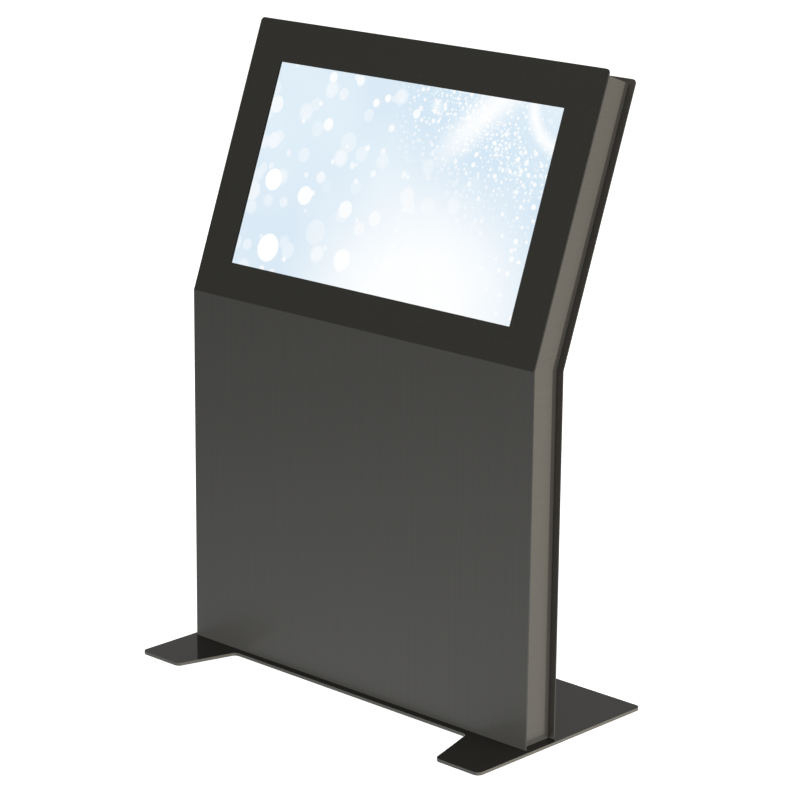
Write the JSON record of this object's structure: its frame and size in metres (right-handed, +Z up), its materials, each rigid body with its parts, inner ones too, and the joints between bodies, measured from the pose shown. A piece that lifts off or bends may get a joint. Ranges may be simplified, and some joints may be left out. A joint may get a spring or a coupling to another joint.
{
  "type": "touchscreen kiosk",
  "caption": "Free-standing information kiosk with a tilted landscape touch display in a bent front sheet, slim side covers, a rear service door and a flat floor plate with forward feet.",
  "frame": {"origin": "middle of the floor plate's underside, on the floor", "axes": "+Z up, the display faces -Y, +X is to the right for someone who looks at the front"},
  "size_m": [0.88, 0.452, 1.2115],
  "materials": {
    "panel_steel": "satin",
    "frame_steel": "satin",
    "plate_steel": "gloss",
    "cover_steel": "brushed",
    "bright_fasteners": "satin",
    "black_fasteners": "satin",
    "galvanised": "satin",
    "hinge_steel": "satin",
    "lock_chrome": "polished",
    "lock_zinc": "satin",
    "glass": "polished",
    "screen": "gloss",
    "black_rubber": "matte",
    "lead_sheath": "matte",
    "rim_black": "matte",
    "board_green": "satin",
    "black_plastic": "matte",
    "player_aluminium": "satin",
    "button_metal": "satin",
    "switch_red": "gloss"
  },
  "bodies": {
    "cabinet": {"front_panel": "panel_steel", "rear_panel": "panel_steel", "chassis_base": "frame_steel", "chassis_side_left": "frame_steel", "chassis_side_right": "frame_steel", "chassis_top": "frame_steel", "floor_plate": "plate_steel", "side_cover_left": "cover_steel", "side_cover_right": "cover_steel", "base_bolts": "bright_fasteners", "frame_rivets": "bright_fasteners", "front_panel_nuts": "bright_fasteners", "side_cover_nuts": "bright_fasteners", "display_screws": "bright_fasteners", "rail_screws": "bright_fasteners", "equipment_screws": "bright_fasteners", "fan_screws": "bright_fasteners", "rear_panel_screws": "black_fasteners", "panel_leaf_screws": "black_fasteners", "cross_members": "galvanised", "display_rails": "galvanised", "equipment_plate": "galvanised", "player_bracket": "galvanised", "lcd_housing": "galvanised", "hinge_panel_leaves": "hinge_steel", "hinge_pins": "hinge_steel", "touch_glass": "glass", "lcd_panel": "screen", "door_seal": "black_rubber", "glass_gasket": "black_rubber", "cable_grommet": "black_rubber", "rear_gasket": "black_rubber", "mains_lead": "lead_sheath", "power_leads": "lead_sheath", "signal_lead": "lead_sheath", "lcd_rim": "rim_black", "driver_board": "board_green", "touch_controller": "black_plastic", "power_strip": "black_plastic", "fan_frames": "black_plastic", "media_player": "player_aluminium"},
    "door": {"service_door": "panel_steel", "hinge_door_leaves": "hinge_steel", "door_leaf_screws": "black_fasteners", "lock_body": "lock_chrome", "lock_nut": "lock_zinc"},
    "lock_core": {"lock_plug": "lock_chrome", "lock_cam": "lock_zinc", "lock_cam_screw": "lock_zinc"},
    "left_rotor": {"fan_rotor_left": "black_plastic"},
    "right_rotor": {"fan_rotor_right": "black_plastic"},
    "player_power_button": {"player_button": "button_metal"},
    "mains_rocker": {"strip_switch": "switch_red"}
  },
  "joints": [
    {"name": "service_door_hinge", "type": "hinge", "parent": "cabinet", "child": "door", "pos_m": [-0.3, -0.005, 0.361], "axis": [0, 0, 1], "range_deg": [0, 110]},
    {"name": "door_lock_turn", "type": "hinge", "parent": "door", "child": "lock_core", "pos_m": [0.27, -0.029, 0.361], "axis": [0, 1, 0], "range_deg": [0, 90]},
    {"name": "left_fan_spin", "type": "hinge", "parent": "cabinet", "child": "left_rotor", "pos_m": [-0.11, 0.11945, 1.08134], "axis": [0, 0.9397, -0.342], "continuous": true},
    {"name": "right_fan_spin", "type": "hinge", "parent": "cabinet", "child": "right_rotor", "pos_m": [0.11, 0.11945, 1.08134], "axis": [0, 0.9397, -0.342], "continuous": true},
    {"name": "player_button_press", "type": "slide", "parent": "cabinet", "child": "player_power_button", "axis": [-1, 0, 0], "range_m": [0, 0.001], "stiffness_N_per_m": 200},
    {"name": "strip_switch_rock", "type": "hinge", "parent": "cabinet", "child": "mains_rocker", "pos_m": [0.092, -0.043, 0.158], "axis": [1, 0, 0], "range_deg": [-16, 0]}
  ]
}
